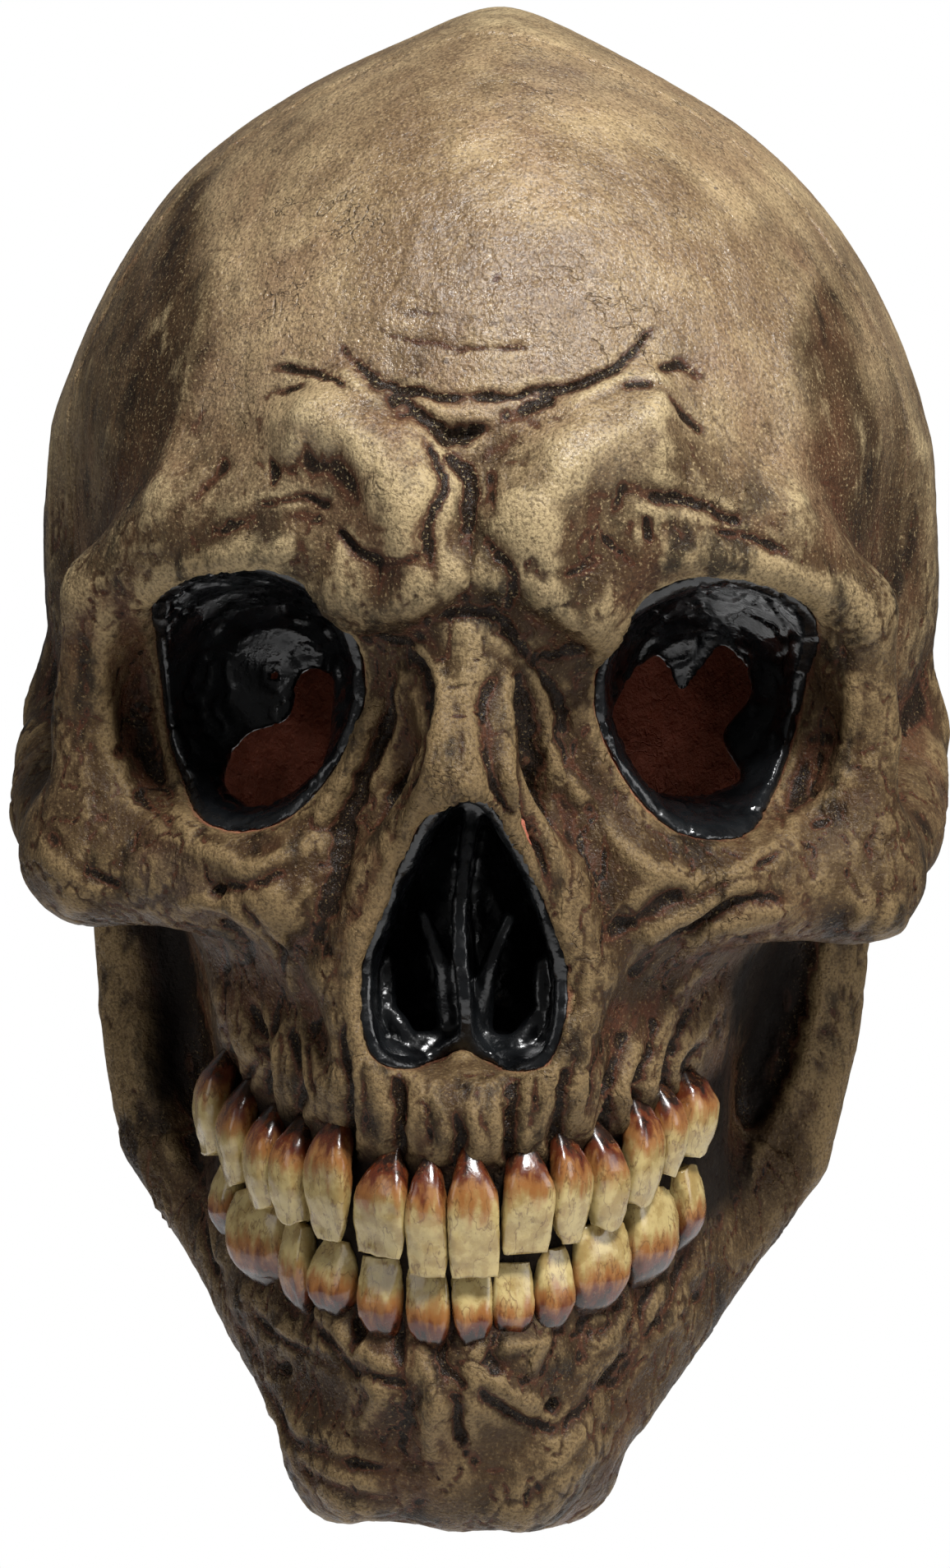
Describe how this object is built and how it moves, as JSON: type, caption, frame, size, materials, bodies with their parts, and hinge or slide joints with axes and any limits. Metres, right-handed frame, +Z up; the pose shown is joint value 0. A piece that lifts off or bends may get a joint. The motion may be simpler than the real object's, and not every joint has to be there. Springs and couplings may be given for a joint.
{
  "type": "skull mask",
  "caption": "Full-head latex skull mask with painted bone skin, black eye and nose cups, separate teeth, a crown pad and a split nape that folds open.",
  "frame": {"origin": "centre of the crown pad's underside, where the mask rests on the top of the wearer's head", "axes": "+Z up, -Y the way the face looks, +X towards the wearer's left"},
  "size_m": [0.2041, 0.2541, 0.3198],
  "materials": {
    "bone_latex": "painted bone colour with dark washes, satin",
    "black_latex": "glossy black",
    "tooth_ivory": "glossy ivory, brown at the roots",
    "seam_gauze": "latex-soaked gauze",
    "crown_foam": "dark open-cell foam"
  },
  "bodies": {
    "mask_shell": {"face_skin": "bone_latex", "rear_skin": "bone_latex", "eye_socket_cup_left": "black_latex", "eye_socket_cup_right": "black_latex", "nasal_cavity_cup": "black_latex", "seam_tape_left": "seam_gauze", "seam_tape_right": "seam_gauze", "crown_foam_pad": "crown_foam", "upper_left_central_incisor": "tooth_ivory", "upper_left_lateral_incisor": "tooth_ivory", "upper_left_canine": "tooth_ivory", "upper_left_first_premolar": "tooth_ivory", "upper_left_second_premolar": "tooth_ivory", "upper_left_first_molar": "tooth_ivory", "upper_left_second_molar": "tooth_ivory", "upper_right_central_incisor": "tooth_ivory", "upper_right_lateral_incisor": "tooth_ivory", "upper_right_canine": "tooth_ivory", "upper_right_first_premolar": "tooth_ivory", "upper_right_second_premolar": "tooth_ivory", "upper_right_first_molar": "tooth_ivory", "upper_right_second_molar": "tooth_ivory", "lower_left_central_incisor": "tooth_ivory", "lower_left_lateral_incisor": "tooth_ivory", "lower_left_canine": "tooth_ivory", "lower_left_first_premolar": "tooth_ivory", "lower_left_second_premolar": "tooth_ivory", "lower_left_first_molar": "tooth_ivory", "lower_right_central_incisor": "tooth_ivory", "lower_right_lateral_incisor": "tooth_ivory", "lower_right_canine": "tooth_ivory", "lower_right_first_premolar": "tooth_ivory", "lower_right_second_premolar": "tooth_ivory", "lower_right_first_molar": "tooth_ivory"},
    "slit_flap_left": {"slit_flap_left": "bone_latex"},
    "slit_flap_right": {"slit_flap_right": "bone_latex"}
  },
  "joints": [
    {"name": "slit_flap_left_fold", "type": "hinge", "parent": "mask_shell", "child": "slit_flap_left", "pos_m": [0, 0.1328, -0.106], "axis": [0.3801, -0.3276, -0.865], "range_deg": [0, 60], "stiffness_Nm_per_rad": 0.03},
    {"name": "slit_flap_right_fold", "type": "hinge", "parent": "mask_shell", "child": "slit_flap_right", "pos_m": [0, 0.1328, -0.106], "axis": [0.3801, 0.3276, 0.865], "range_deg": [0, 60], "stiffness_Nm_per_rad": 0.03}
  ]
}
